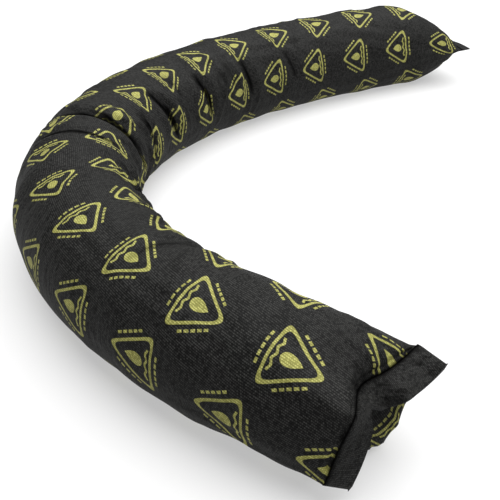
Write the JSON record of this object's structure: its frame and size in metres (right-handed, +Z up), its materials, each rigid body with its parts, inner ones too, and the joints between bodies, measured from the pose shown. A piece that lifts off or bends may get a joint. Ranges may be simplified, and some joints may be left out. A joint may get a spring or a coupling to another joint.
{
  "type": "flood sock",
  "caption": "Long filled flood sock of black woven cloth, laid in a hook on the floor, with ends sewn flat and hemmed, and a print of plain water-drop triangles.",
  "frame": {"origin": "middle of the base of the bounding box, on the floor that the sock lies on", "axes": "+Z up; +Y along the longer side of the hook's box, away from the near end; the hook's mouth opens towards +X"},
  "size_m": [0.6316, 1.0926, 0.1267],
  "materials": {
    "sock_cloth": "matte twill weave, printed in yellow-green"
  },
  "bodies": {
    "root": {"sock": "sock_cloth"}
  },
  "joints": []
}
